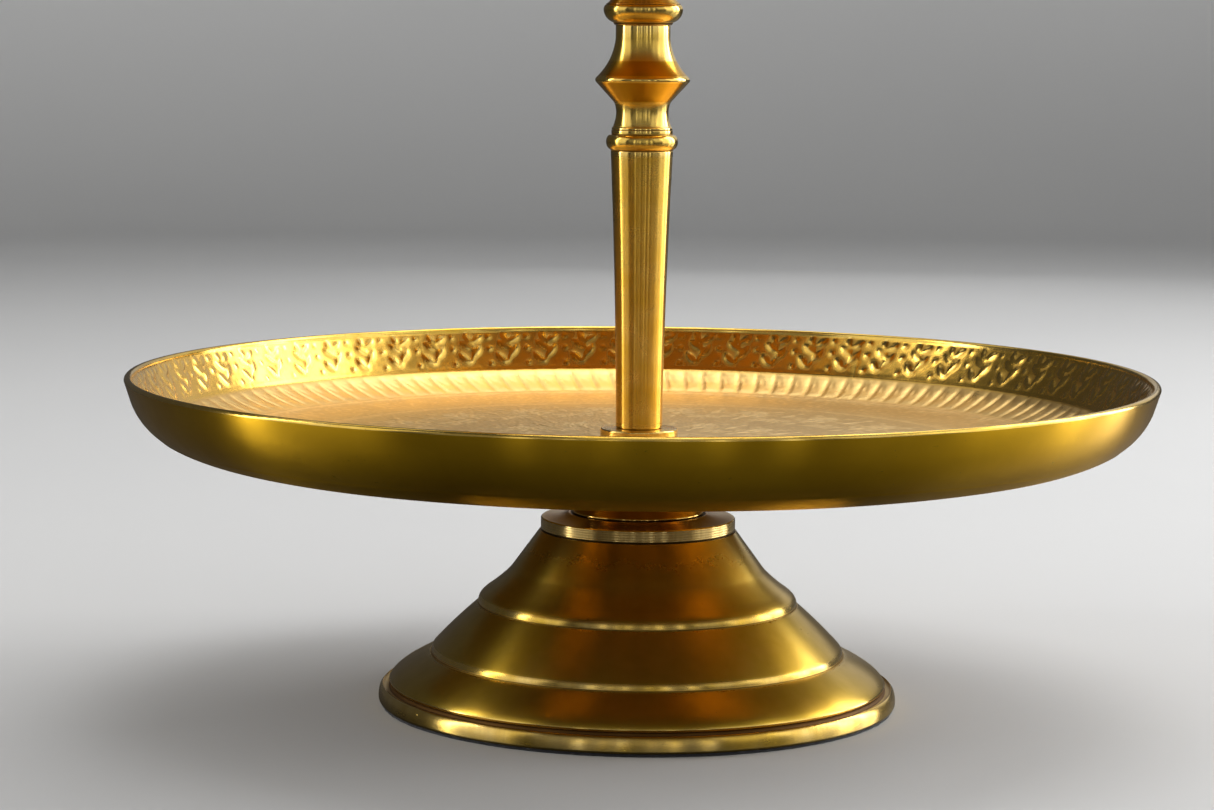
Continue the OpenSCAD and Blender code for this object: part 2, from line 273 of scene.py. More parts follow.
def brass(name, rough, cut_depth, cut_scale=4200, anisotropy=0.0, bright=BRASS, deep=BRASS_DEEP, pits=1.0,
          smudge=0.08, relief=False, streaks=0.0):
    """Turned brass: fine lathe lines, soft tarnish, a few casting pits, crevices darkened with painted
    shade and some tarnish, and edges painted brighter as wear and painted highlight.
    """
    n = Nodes(name)
    place = n.add("TexCoord").outputs["Object"]
    cut = n.noise(turned_place(n), cut_scale, 4.0, 0.65)
    tarnish = n.noise(place, 38, 4.0, 0.6)
    handling = n.noise(place, 150, 3.0, 0.5)
    speck = n.add("TexVoronoi", {"feature": "F1"}, Vector=place, Scale=520.0).outputs["Distance"]
    speck = n.span(speck, 0.02, 0.11, 1.0, 0.0)
    sparse = n.span(n.noise(place, 210, 1.0), 0.58, 0.68)
    pit = n.math("MULTIPLY", speck, sparse)
    # Painted shade darkens the crevices, with some tarnish; ridges are painted paler, part wear and part
    # painted highlight.
    shade_and_wear = n.value("shade_and_wear")
    crevice = n.span(shade_and_wear, -0.75, 0.0, 1.0, 0.0)
    ridge = n.span(shade_and_wear, 0.12, 0.9)
    shade = n.span(n.math("ADD", tarnish, n.math("MULTIPLY", handling, 0.35)), 0.45, 0.85)
    colour = n.mix(shade, bright, deep)
    if streaks:
        colour = n.mix(n.math("MULTIPLY", drawn_streaks(n), streaks), colour, rgb(0.5, 0.29, 0.05))
    colour = n.mix(n.math("MULTIPLY", crevice, 0.4), colour, rgb(0.16, 0.075, 0.018))
    colour = n.mix(n.math("MULTIPLY", ridge, 0.45), colour, BRASS_PALE)
    colour = n.mix(n.math("MULTIPLY", pit, 0.6 * pits), colour, rgb(0.2, 0.11, 0.04))
    roughness = n.math("ADD", rough, n.math("MULTIPLY", n.math("SUBTRACT", handling, 0.5), smudge))
    roughness = n.math("ADD", roughness, n.math("MULTIPLY", n.math("SUBTRACT", cut, 0.5), smudge * 0.9))
    roughness = n.math("ADD", roughness, n.math("MULTIPLY", crevice, 0.22))
    roughness = n.math("SUBTRACT", roughness, n.math("MULTIPLY", ridge, rough * 0.35))
    if relief:
        # Painted shade: the etched ground lying low between the embossed relief is darkened.
        low = n.span(n.value("relief"), 0.0, 0.6, 1.0, 0.0)
        etched = n.value("etched")
        colour = n.mix(etched, colour, rgb(0.88, 0.62, 0.27))
        colour = n.mix(n.math("MULTIPLY", low, 0.45), colour, rgb(0.46, 0.27, 0.07))
        roughness = n.math("ADD", roughness, n.math("MULTIPLY", etched, 0.22))
    n.put(n.shader.inputs["Base Color"], colour)
    n.put(n.shader.inputs["Roughness"], n.math("MAXIMUM", roughness, 0.05))
    n.shader.inputs["Metallic"].default_value = 1.0
    lines = n.add("Bump", Strength=1.0, Distance=cut_depth * MM, Height=cut)
    dents = n.add("Bump", Strength=1.0, Distance=-0.05 * pits * MM, Height=pit, Normal=lines.outputs[0])
    n.put(n.shader.inputs["Normal"], dents.outputs[0])
    if anisotropy:
        n.shader.inputs["Anisotropic"].default_value = anisotropy
        n.shader.inputs["Anisotropic Rotation"].default_value = ACROSS_THE_CUT
        tangent = n.add("Tangent", {"direction_type": "RADIAL", "axis": "Z"})
        n.put(n.shader.inputs["Tangent"], tangent.outputs[0])
    return n.material


def cast_brass():
    """The rough, dark inside of the casting."""
    n = Nodes("cast_brass")
    place = n.add("TexCoord").outputs["Object"]
    grain = n.noise(place, 900, 5.0, 0.7)
    lumps = n.noise(place, 120, 3.0)
    colour = n.mix(n.span(lumps, 0.35, 0.7), rgb(0.34, 0.21, 0.075), rgb(0.2, 0.12, 0.05))
    n.put(n.shader.inputs["Base Color"], colour)
    n.put(n.shader.inputs["Roughness"], n.span(grain, 0.3, 0.7, 0.45, 0.75))
    n.shader.inputs["Metallic"].default_value = 1.0
    coarse = n.add("Bump", Strength=1.0, Distance=0.25 * MM, Height=lumps)
    fine = n.add("Bump", Strength=1.0, Distance=0.12 * MM, Height=grain, Normal=coarse.outputs[0])
    n.put(n.shader.inputs["Normal"], fine.outputs[0])
    return n.material


def zinc_steel():
    """Bright zinc plate with faint blotches and turning marks."""
    n = Nodes("zinc_steel")
    place = n.add("TexCoord").outputs["Object"]
    blotch = n.noise(place, 260, 4.0, 0.6)
    cut = n.noise(turned_place(n), 5200, 3.0)
    colour = n.mix(n.span(blotch, 0.35, 0.7), rgb(0.66, 0.68, 0.70), rgb(0.46, 0.47, 0.50))
    n.put(n.shader.inputs["Base Color"], colour)
    n.put(n.shader.inputs["Roughness"], n.span(blotch, 0.3, 0.75, 0.24, 0.42))
    n.shader.inputs["Metallic"].default_value = 1.0
    lines = n.add("Bump", Strength=1.0, Distance=0.012 * MM, Height=cut)
    n.put(n.shader.inputs["Normal"], lines.outputs[0])
    return n.material


def vulcanised_fibre():
    """Red-brown fibre washer with short fibres in its face."""
    n = Nodes("vulcanised_fibre")
    place = n.add("TexCoord").outputs["Object"]
    fibres = n.add("Mapping", {}, Vector=place, Scale=(1.0, 6.0, 1.0)).outputs[0]
    strand = n.noise(fibres, 700, 5.0, 0.7)
    colour = n.mix(n.span(strand, 0.3, 0.7), rgb(0.19, 0.06, 0.03), rgb(0.33, 0.13, 0.06))
    n.put(n.shader.inputs["Base Color"], colour)
    n.put(n.shader.inputs["Roughness"], n.span(strand, 0.3, 0.7, 0.55, 0.75))
    nap = n.add("Bump", Strength=1.0, Distance=0.04 * MM, Height=strand)
    n.put(n.shader.inputs["Normal"], nap.outputs[0])
    return n.material


def black_felt():
    """Pressed black felt: matted fibres, grey lint and a soft sheen."""
    n = Nodes("black_felt")
    place = n.add("TexCoord").outputs["Object"]
    mat = n.noise(place, 1700, 6.0, 0.75)
    lint = n.span(n.noise(place, 5200, 2.0), 0.66, 0.74)
    colour = n.mix(n.span(mat, 0.3, 0.7), rgb(0.008, 0.008, 0.009), rgb(0.03, 0.03, 0.033))
    colour = n.mix(n.math("MULTIPLY", lint, 0.5), colour, rgb(0.12, 0.12, 0.12))
    n.put(n.shader.inputs["Base Color"], colour)
    n.put(n.shader.inputs["Roughness"], n.span(mat, 0.3, 0.7, 0.85, 1.0))
    n.shader.inputs["Sheen Weight"].default_value = 0.3
    n.shader.inputs["Specular IOR Level"].default_value = 0.2
    nap = n.add("Bump", Strength=1.0, Distance=0.25 * MM, Height=mat)
    n.put(n.shader.inputs["Normal"], nap.outputs[0])
    return n.material


ACROSS_THE_CUT = 0.25
SATIN = brass("brass_satin", rough=0.3, cut_depth=0.008, anisotropy=0.85, bright=rgb(0.70, 0.46, 0.07),
              deep=rgb(0.58, 0.37, 0.035))
SHAFT = brass("brass_shaft", rough=0.28, cut_depth=0.003, anisotropy=1.0, bright=rgb(0.9, 0.63, 0.17),
              pits=1.4, smudge=0.06, streaks=0.6)
POLISHED = brass("brass_polished", rough=0.2, cut_depth=0.003, anisotropy=0.8, bright=rgb(0.92, 0.64, 0.17),
                 deep=BRASS, smudge=0.05, streaks=0.25)
# Painted shade: a darker, more orange copy of the brass for the knob's faces either side of its edge.
CONE_SHADED = brass("brass_cone_shaded", rough=0.22, cut_depth=0.003, anisotropy=0.6, bright=rgb(0.66, 0.37, 0.03),
             deep=rgb(0.54, 0.29, 0.02))
BAND = brass("brass_band", rough=0.26, cut_depth=0.003, anisotropy=0.9, bright=BRASS_PALE, deep=BRASS,
             smudge=0.05, streaks=0.3)
# Painted shade: a darker copy of the brass for the neck and the collar's shoulder, which lie under the
# tray.
NECK_SHADED = brass("brass_neck_shaded", rough=0.2, cut_depth=0.004, bright=BRASS_DEEP, deep=rgb(0.55, 0.27, 0.03))
COLLAR = brass("brass_collar", rough=0.3, cut_depth=0.006, cut_scale=2600, anisotropy=0.95,
               bright=rgb(0.96, 0.74, 0.34), deep=BRASS_PALE, streaks=0.3)
TRAY_OUT = brass("brass_tray_outside", rough=0.3, cut_depth=0.003, anisotropy=0.95, bright=BRASS_OLIVE,
                 deep=rgb(0.74, 0.41, 0.015))
TRAY_IN = brass("brass_tray_inside", rough=0.17, cut_depth=0.003, bright=rgb(0.80, 0.47, 0.05),
                deep=rgb(0.68, 0.38, 0.035), relief=True, pits=0.6)
# Painted shade: near-black brass in the grooves, on the faces under parts and down the bores.
GROOVE_SHADE = brass("brass_groove_shade", rough=0.4, cut_depth=0.01, bright=rgb(0.14, 0.07, 0.02),
             deep=rgb(0.07, 0.035, 0.01))
CAST = cast_brass()
STEEL = zinc_steel()
FIBRE = vulcanised_fibre()
FELT = black_felt()

# ---- Turned pieces -----------------------------------------------------------------------------

# Sizes in millimetres
GROOVE = 0.5
BORE = 3.3
SPIGOT_R = 5.0
SPIGOT_H = 1.5
FOOT_MOUTH_R = 67.0


def closed(outline, bore, finish=0):
    """The outline closed down the bore."""
    return [(bore, outline[0][1], finish)] + soften(outline) + [(bore, outline[-1][1], finish)]


def foot_bells(r, z):
    """The three bells of the pedestal, from the lowest up: a dome, a straight cone and a flare."""
    low = bend((r - 3.2, z + 6.1), (r - 4.5, z + 9.3), (62.2, z + 14.2))
    middle = bend((61, z + 16.4), (55.25, z + 22.7), (48, z + 29))
    top = bend((47, z + 31.5), (46.6, z + 32.3), (43.9, z + 34.1), 8)
    top += bend((43.9, z + 34.1), (39.6, z + 37.4), (37.8, z + 39.6), 10)[1:] + [(29.4, z + 51.1)]
    return low, middle, top


def pedestal_foot():
    """Polished bottom band and step bands, brushed bells, grooves painted near-black as shade, and a rough
    cast hollow.
    """
    satin, polished, groove_shade, cast = range(4)
    r, z, top_z = radius("pedestal_foot"), low_z("pedestal_foot"), high_z("pedestal_foot")
    low, middle, top = foot_bells(r, z)
    crown = top_z - 4.8
    outside = joined(
        ([(r - GROOVE, z)] + bend((r - 0.1, z + GROOVE), (r + 0.1, z + 3.8), (r - 1.3, z + 4.8)), polished),
        (arc((r - 2.5, z + 5.1), 1.2, -15, -110, 8), polished),
        (arc((r - 2.5, z + 5.1), 1.2, -120, -185, 6), groove_shade),
        ([(r - 3.55, z + 5.5), (r - 3.3, z + 5.95)], polished),
        (low, satin),
        ([(62.1, z + 14.22), (61.62, z + 14.26)], satin),
        ([(61.6, z + 14.4), (61.56, z + 14.48)], groove_shade),
        (bend((61.54, z + 14.55), (61.48, z + 15.7), (61.05, z + 16.3), 6), polished),
        (middle, satin),
        ([(47.9, z + 29.03), (47.64, z + 29.07)], satin),
        ([(47.62, z + 29.2), (47.62, z + 29.28)], groove_shade),
        (bend((47.63, z + 29.36), (47.6, z + 30.6), (47.1, z + 31.35), 6), polished),
        (top, satin),
        ([(29.2, top_z - 0.05), (28.6, top_z), (16.05, top_z)], groove_shade),
        ([(16.05, top_z - 1.55), (BORE, top_z - 1.55)], groove_shade),
    )
    wall = 3.2
    inner = []
    path = np.array(low + middle + top)
    along = np.gradient(path, axis=0)
    along /= np.linalg.norm(along, axis=1)[:, None]
    for (pr, pz), (dr, dz) in zip(path, along):
        q = (pr - wall * dz, pz + wall * dr)
        if q[0] < FOOT_MOUTH_R and q[1] < crown:
            inner.append(q)
    hollow = [(BORE, crown), (24.0, crown)] + inner[::-1] + [(FOOT_MOUTH_R, z)]
    outline = soften(outside) + soften([(*p, cast) for p in hollow], cut=1.2)
    return lathe("pedestal_foot_turned", outline, [SATIN, BAND, GROOVE_SHADE, CAST], 320)


def pedestal_collar():
    """Polished collar with fine turned lines and a shoulder that rises to the neck."""
    r, z, step = radius("pedestal_collar"), low_z("pedestal_collar"), high_z("pedestal_collar") - SPIGOT_H
    foot = high_z("pedestal_foot")
    top = step - 1.1
    neck_r = 19.6
    band = [(r, foot + 0.42)]
    for line in np.linspace(foot + 0.9, top - 0.75, 4):
        band += [(r, line - 0.14), (r - 0.1, line), (r, line + 0.14)]
    outline = joined(
        ([(16.0, z), (16.0, foot), (r - GROOVE, foot), (r - GROOVE, foot + 0.3)], 1),
        (band + [(r, top - 0.35), (r - 0.35, top)], 0),
        # The shoulder takes the darker neck brass, painted shade under the tray.
        (bend((r - 0.5, top), (neck_r + 3, top + 0.3), (neck_r + 1, step), 10), 2),
        ([(neck_r + 0.6, step), (SPIGOT_R, step), (SPIGOT_R, step + SPIGOT_H)], 1),
    )
    return lathe("pedestal_collar_turned", closed(outline, BORE, 1), [COLLAR, GROOVE_SHADE, NECK_SHADED], 256)


def with_joint(outline, node, bottom=True, top=True):
    """Adds the socket under a stacked piece and the spigot on its top."""
    z0, z1 = low_z(node), outline[-1][1]
    points = list(outline)
    if bottom:
        points = [(SPIGOT_R + 0.05, z0 + SPIGOT_H + 0.05, 0), (SPIGOT_R + 0.05, z0, 0)] + points
    if top:
        points += [(SPIGOT_R, z1, 0), (SPIGOT_R, z1 + SPIGOT_H, 0)]
    return points


def pedestal_neck():
    """The neck between collar and tray: a round foot with a bright edge, a waist and a flat head."""
    z = low_z("pedestal_neck")
    top = high_z("pedestal_neck")
    outline = joined(
        ([(19.2, z), (19.6, z + 0.4), (19.6, z + 0.7)], 1),
        (bend((19.4, z + 0.9), (18.2, z + 2.6), (17, z + 4.8)), 0),
        (bend((17, z + 4.8), (15, z + 6.5), (15, z + 8.7)), 0),
        (bend((15, z + 9.7), (15.4, z + 14.3), (23.4, z + 15.1)), 0),
        ([(24, z + 15.7), (24, top - 0.4), (23.6, top)], 0),
    )
    points = closed(with_joint(outline, "pedestal_neck", top=False), BORE)
    # The neck's brass is the darker copy: painted shade under the tray.
    return lathe("pedestal_neck_turned", points, [NECK_SHADED, POLISHED])


def clamp_flange(node, spigot):
    """The round flange at the shaft's foot, with a rolled edge and a fine groove round its top."""
    z, r = low_z(node), radius(node)
    top = high_z(node) - (SPIGOT_H if spigot else 0)
    outline = joined(
        ([(r - 0.3, z), (r, z + 0.3)], 0),
        (arc((r - 0.5, top - 0.5), 0.5, 0, 90), 0),
        ([(r - 1.2, top), (r - 1.32, top - 0.08), (r - 1.44, top), (SPIGOT_R + 0.4, top)], 0),
    )
    if spigot:
        outline = with_joint(outline, node, bottom=False)
    return lathe(node + "_turned", closed(outline, BORE), [POLISHED])


def column_shaft():
    """The tapered shaft, nearly straight at its foot."""
    node = "column_shaft"
    z, top, r = low_z(node), high_z(node) - SPIGOT_H, radius(node)
    foot_r = 6.9
    outline = joined(
        ([(foot_r - 0.4, z)], 1),
        (bend((foot_r, z + 0.35), (foot_r + 0.3, z + 39.8), (r, top), 40), 0),
    )
    return lathe("column_shaft_turned", closed(with_joint(outline, node), BORE), [SHAFT, GROOVE_SHADE])


def column_ring():
    """The ring on top of the shaft, cut under below its edge, and the narrow step above it."""
    node = "column_ring"
    z, top = low_z(node), high_z(node) - SPIGOT_H
    outline = joined(
        ([(9.0, z), (9.25, z + 0.15)], 1),
        (bend((9.4, z + 0.4), (10.6, z + 1), (10.6, z + 2.9)), 0),
        (bend((10.6, z + 2.9), (10.5, z + 4.2), (9.6, z + 4.7), 10), 0),
        ([(9.0, z + 4.78), (8.95, z + 4.9)], 1),
        ([(9.05, z + 5.0), (9.05, top - 0.06)], 0),
        ([(8.95, top)], 1),
    )
    return lathe("column_ring_turned", closed(with_joint(outline, node), BORE), [POLISHED, GROOVE_SHADE])


def column_knop():
    """Waist, knob with a narrow bright edge, and the neck above it."""
    node = "column_knop"
    z, top, r = low_z(node), high_z(node) - SPIGOT_H, radius(node) - 0.45
    edge = z + 14.7
    upper = bend((r, edge + 0.9), (9.2, z + 19.8), (8.2, z + 25.7), 24)
    outline = joined(
        ([(8.6, z), (8.9, z + 0.1)], 1),
        ([(8.97, z + 0.2), (8.97, z + 0.65), (8.7, z + 0.85)], 0),
        (bend((8.6, z + 1), (7, z + 5), (8.3, z + 8.1)), 0),
        # The faces either side of the edge take the darker cone brass, painted shade.
        (bend((8.3, z + 8.1), (10, z + 10), (r, edge - 0.9)), 2),
        (bend((r, edge - 0.9), (r + 0.9, edge), (r, edge + 0.9), 12), 0),
        (upper[:12], 2),
        (upper[12:], 0),
        ([(8.05, z + 26.9), (8.05, top)], 0),
    )
    return lathe("column_knop_turned", closed(with_joint(outline, node), BORE), [POLISHED, GROOVE_SHADE, CONE_SHADED])


def column_bead():
    """The bead above the knob's neck."""
    node = "column_bead"
    z, top, r = low_z(node), high_z(node) - SPIGOT_H, radius(node)
    outline = joined(
        ([(8.3, z), (8.55, z + 0.2)], 1),
        (bend((8.8, z + 0.8), (11.2, z + 1.6), (r, z + 4.3)), 0),
        (bend((r, z + 4.3), (r, z + 5.3), (r - 0.5, top), 8), 0),
    )
    return lathe("column_bead_turned", closed(with_joint(outline, node), BORE), [POLISHED, GROOVE_SHADE])


def column_neck():
    """The waisted neck between the bead and the upper seat."""
    node = "column_neck"
    z, top = low_z(node), high_z(node) - SPIGOT_H
    outline = joined(
        ([(10.8, z), (11.0, z + 0.15)], 1),
        (bend((11, z + 0.2), (7.4, z + 2.7), (7, z + 9)), 0),
        (bend((7, z + 9), (7, top - 7), (11.5, top - 1.2), 24), 0),
        ([(12, top - 0.8), (12, top)], 0),
    )
    return lathe("column_neck_turned", closed(with_joint(outline, node), BORE), [SHAFT, GROOVE_SHADE])


def upper_seat():
    """The flared seat under the upper tray."""
    node = "upper_seat"
    z, top, r = low_z(node), high_z(node), radius(node)
    outline = joined(
        ([(13.6, z), (14, z + 0.4)], 0),
        (bend((14.2, z + 0.6), (20, z + 0.8), (r - 0.4, z + 2)), 0),
        ([(r, z + 2.4), (r, top - 0.4), (r - 0.4, top)], 0),
    )
    return lathe("upper_seat_turned", closed(with_joint(outline, node, top=False), BORE), [SATIN])


def flat_washer(node, bore, finish):
    """A stamped washer with eased edges."""
    z, top, r = low_z(node), high_z(node), radius(node)
    ease = min(0.15, (top - z) * 0.25)
    outline = joined(([(r - ease, z), (r, z + ease), (r, top - ease), (r - ease, top)], 0))
    return lathe(node + "_stamped", closed(outline, bore), [finish], 128)


# ---- Handle ------------------------------------------------------------------------------------

RING_R, BAR_R = 21.0, 3.2
CENTRE_R = 0.0005


def handle_stem():
    """Turned stem, tapped from below and drilled from above, with a saddle for the ring."""
    node = "handle_stem"
    z = low_z(node)
    top = z + 34.0
    grip = 15.0
    outline = joined(
        ([(3.05, z + grip), (3.05, z + 0.6), (3.6, z), (9.2, z), (9.5, z + 0.4), (9.5, z + 1.8)], 0),
        (bend((9, z + 2.2), (5.8, z + 4.4), (5.9, z + 9)), 0),
        (bend((5.9, z + 9), (6.4, z + 12.2), (9.4, z + 14.2)), 0),
        (bend((9.4, z + 14.2), (10.4, z + 15.2), (9.4, z + 16.6), 10), 0),
        (bend((9.4, z + 16.6), (6, z + 19.4), (5.4, z + 25)), 0),
        (bend((5.4, z + 26), (7.8, z + 28), (8, top - 2.4)), 0),
        (arc((7.2, top - 0.8), 0.8, 0, 90, 8), 0),
        ([(6.4, top), (4.6, top), (2.55, top), (2.55, top - 7)], 0),
    )
    points = [(CENTRE_R, z + grip, 0)] + soften(outline) + [(CENTRE_R, top - 7, 0)]
    stem = lathe("handle_stem_turned", points, [POLISHED], 192)
    press_saddle(stem, top + RING_R + BAR_R - 1.4, RING_R, BAR_R + 0.05)
    return stem


def press_saddle(obj, centre_z, ring_r, bar_r):
    """Lowers the stem's top to where the ring's bar lies in it."""
    co = np.empty(len(obj.data.vertices) * 3, np.float32)
    obj.data.vertices.foreach_get("co", co)
    co = co.reshape(-1, 3) / MM
    reach = np.maximum(bar_r**2 - co[:, 1] ** 2, 0)
    across = np.maximum((ring_r + np.sqrt(reach)) ** 2 - co[:, 0] ** 2, 0)
    floor = centre_z - np.sqrt(across)
    hit = (np.abs(co[:, 1]) < bar_r) & (co[:, 2] > floor) & (co[:, 2] > centre_z - ring_r - bar_r - 0.5)
    co[hit, 2] = floor[hit]
    obj.data.vertices.foreach_set("co", (co * MM).ravel())
    obj.data.update()


def handle_ring():
    """The ring's round bar, with its brazed peg."""
    node = "handle_ring"
    centre = high_z(node) - RING_R - BAR_R
    rows, cols = 192, 40
    a = np.linspace(0, 2 * math.pi, rows, endpoint=False)[:, None]
    b = np.linspace(0, 2 * math.pi, cols, endpoint=False)[None, :]
    verts = np.empty((rows, cols, 3))
    verts[..., 0] = (RING_R + BAR_R * np.cos(b)) * np.sin(a)
    verts[..., 1] = BAR_R * np.sin(b)
    verts[..., 2] = centre + (RING_R + BAR_R * np.cos(b)) * np.cos(a)
    ring = mesh_from("handle_ring_bent", verts.reshape(-1, 3) * MM, ring_quads(rows, cols)[:, ::-1])
    add_values(ring, "shade_and_wear", np.zeros(rows * cols))
    ring.data.materials.append(POLISHED)
    z0 = centre - RING_R - BAR_R
    collar = joined(([(2.5, z0 - 4.6), (2.5, z0 - 0.2), (3.4, z0 + 0.3), (2.4, z0 + 0.9)], 0))
    points = [(CENTRE_R, z0 - 4.6, 0)] + soften(collar) + [(CENTRE_R, z0 + 0.9, 0)]
    peg = lathe("handle_ring_peg", points, [POLISHED], 64)
    settle(peg, node)
    return ring


# ---- Threaded rod, nut and spring washer -------------------------------------------------------

def tie_rod():
    """M6 rod: real threads at both ends and a plain shank between them."""
    node = "tie_rod"
    z0, z1 = low_z(node), high_z(node)
    core, crest, pitch = 2.42, 3.0, 1.0
    low_end, high_start = z0 + 26.0, z1 - 22.0
    cols = 40
    fine = 0.125
    plain = np.linspace(low_end, high_start, 12)[1:-1]
    heights = np.concatenate([np.arange(z0, low_end, fine), plain, np.arange(high_start, z1, fine), [z1]])
    t = np.linspace(0, 2 * math.pi, cols, endpoint=False)
    phase = (heights[:, None] / pitch - t[None, :] / (2 * math.pi)) % 1.0
    tooth = np.clip(1.25 - np.abs(phase - 0.5) * 2.9, 0, 1)
    r = core + (crest - core) * tooth
    shank = (heights > low_end - 0.6) & (heights < high_start + 0.6)
    r[shank] = crest - 0.05
    ends = np.minimum(heights - z0, z1 - heights)
    r = np.minimum(r, (core - 0.3 + ends)[:, None])
    verts = np.stack([r * np.cos(t), r * np.sin(t), np.broadcast_to(heights[:, None], r.shape)], -1)
    tip = np.zeros((1, cols, 3))
    tip[..., 0], tip[..., 1] = 0.001 * np.cos(t), 0.001 * np.sin(t)
    bottom, top = tip + (0, 0, z0), tip + (0, 0, z1)
    verts = np.concatenate([bottom, verts, top])
    quads = ring_quads(len(verts), cols)
    rod = mesh_from("tie_rod_threaded", verts.reshape(-1, 3) * MM, quads, smooth_angle=50)
    add_values(rod, "shade_and_wear", np.zeros(verts.shape[0] * cols))
    rod.data.materials.append(STEEL)
    return rod


def base_felt():
    """A ring of felt with a ragged cut edge and a matted face."""
    node = "base_felt"
    z0, z1, outer, inner = low_z(node), high_z(node), radius(node), FOOT_MOUTH_R
    rng = np.random.default_rng(5)
    cols = 720
    half = [(inner, z0 + 0.12), (inner + 0.1, z0 + 0.02)]
    half += [(r, z0 + 0.01) for r in np.linspace(inner + 0.8, outer - 0.8, 12)]
    half += [(outer - 0.1, z0 + 0.03), (outer, z0 + 0.16), (outer + 0.05, (z0 + z1) / 2), (outer, z1 - 0.1)]
    half += [(outer - 0.15, z1), (inner + 0.15, z1), (inner, z1 - 0.1)]
    pts = np.array(half)
    t = np.linspace(0, 2 * math.pi, cols, endpoint=False)
    fuzz = rng.normal(0, 1, (len(pts), cols))
    fuzz = (fuzz + np.roll(fuzz, 1, 1) + np.roll(fuzz, 2, 1)) / 3
    cut_radii = [outer, outer + 0.05, outer - 0.1, inner, inner + 0.1]
    edge = np.isin(np.round(pts[:, 0], 3), np.round(cut_radii, 3))
    r = pts[:, :1] + fuzz * np.where(edge, 0.13, 0.0)[:, None]
    z = pts[:, 1:] + np.abs(fuzz) * 0.03 * (pts[:, 1:] < z0 + 0.2)
    verts = np.stack([r * np.cos(t), r * np.sin(t), z + np.zeros_like(r)], -1)
    felt = mesh_from("base_felt_cut", verts.reshape(-1, 3) * MM, ring_quads(len(pts), cols))
    felt.data.materials.append(FELT)
    return felt


# ---- Embossed trays ----------------------------------------------------------------------------

def leaf(u, v, at, angle, length, width, height, vein=0.35):
    """Height of a pointed leaf on its own axis, with a vein down its middle."""
    ca, sa = math.cos(math.radians(angle)), math.sin(math.radians(angle))
    a = (u - at[0]) * ca + (v - at[1]) * sa
    b = (v - at[1]) * ca - (u - at[0]) * sa
    half = 0.5 * width * np.clip(1 - (2 * a / length) ** 2, 0, 1)
    q = np.clip(1 - np.abs(b) / np.maximum(half, 1e-6), 0, 1)
    return height * q * (2 - q) * (1 - vein * np.exp(-((b / 0.22) ** 2)))


def dome(u, v, at, r, height):
    """Height of a round boss."""
    return height * np.sqrt(np.clip(1 - ((u - at[0]) ** 2 + (v - at[1]) ** 2) / r**2, 0, 1))


def curl(u, v, at, r, width, height, start, sweep):
    """Height of a stem bent in an arc, from an angle through a sweep, both in degrees."""
    du, dv = u - at[0], v - at[1]
    d = np.abs(np.hypot(du, dv) - r)
    angle = (np.degrees(np.arctan2(dv, du)) - start) % 360
    return height * np.sqrt(np.clip(1 - (d / width) ** 2, 0, 1)) * (angle < sweep)


def ridge(v, at, width, height):
    """Height of a thin ring round the tray."""
    return height * np.sqrt(np.clip(1 - ((v - at) / width) ** 2, 0, 1))


def highest(*heights):
    out = heights[0]
    for h in heights[1:]:
        out = np.maximum(out, h)
    return out


def cell(theta, count, shift=0.0):
    """Angle from the middle of the nearest of count equal cells, in radians."""
    step = 2 * math.pi / count
    return (theta + shift * step + step / 2) % step - step / 2


def sprigs(theta, s, r, middle, count, scale=1.1):
    """Leafy sprigs that lean to one side, standing round the wall."""
    u, v = cell(theta, count) * r / scale, (s - middle) / scale
    out = curl(u, v, (7.2, 0.4), 8.4, 0.5, 0.3, 138, 76)
    for k, tilt in enumerate((52, 126, 40, 140)):
        y = -4.6 + 2.3 * k
        stem_u = 7.2 - math.sqrt(max(8.4**2 - (y - 0.4) ** 2, 0))
        angle = math.radians(tilt)
        at = (stem_u + 2.4 * math.cos(angle), y + 2.4 * math.sin(angle))
        out = np.maximum(out, leaf(u, v, at, tilt, 5.2, 2.9, 0.42, 0.5))
    out = np.maximum(out, leaf(u, v, (0.2, 4.3), 80, 4.8, 2.7, 0.42, 0.5))
    for y in (-4.4, 0.6, 4.6):
        out = np.maximum(out, dome(u, v, (5.4, y), 0.9, 0.3))
    return out


def cushions(theta, s, r, low, high, count):
    """A border of low rounded lobes, divided by narrow grooves and each with a short nick."""
    middle, tall = (low + high) / 2, high - low
    v = s - middle
    step = 2 * math.pi / count * r
    u = cell(theta - v * 0.12 / r, count) * r
    x, y = np.abs(u) / (step * 0.5), np.abs(v) / (tall / 2)
    body = np.clip(1 - x**5, 0, 1) * np.clip(1 - y**4, 0, 1)
    nick = np.exp(-(((u - 0.25 * v - 0.6) / 0.45) ** 2)) * np.clip(1 - ((v - 2.2) / 3.6) ** 2, 0, 1)
    return 0.42 * body - 0.2 * nick * body


